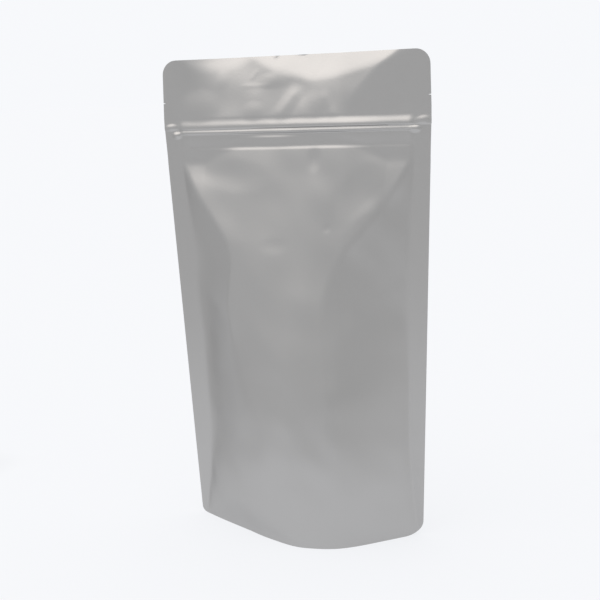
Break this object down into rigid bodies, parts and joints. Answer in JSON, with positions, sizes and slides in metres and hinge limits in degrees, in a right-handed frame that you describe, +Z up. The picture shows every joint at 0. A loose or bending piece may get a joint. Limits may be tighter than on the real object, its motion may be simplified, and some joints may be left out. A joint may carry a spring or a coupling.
{
  "type": "foil stand-up pouch",
  "caption": "Upright pouch of plain silver foil film with sealed sides, a ribbed zip below a free flap, tear notches and a gusset foot spread open by its filling.",
  "frame": {"origin": "on the floor, at the middle of the outline seen from above", "axes": "+Z up the pouch, +X across its width to the right seen from the front, front panel towards -Y"},
  "size_m": [0.12, 0.0598, 0.2],
  "materials": {
    "foil": "satin silver laminate film, soft blurred reflections, faint creases and dents"
  },
  "bodies": {
    "root": {"pouch": "foil"}
  },
  "joints": []
}
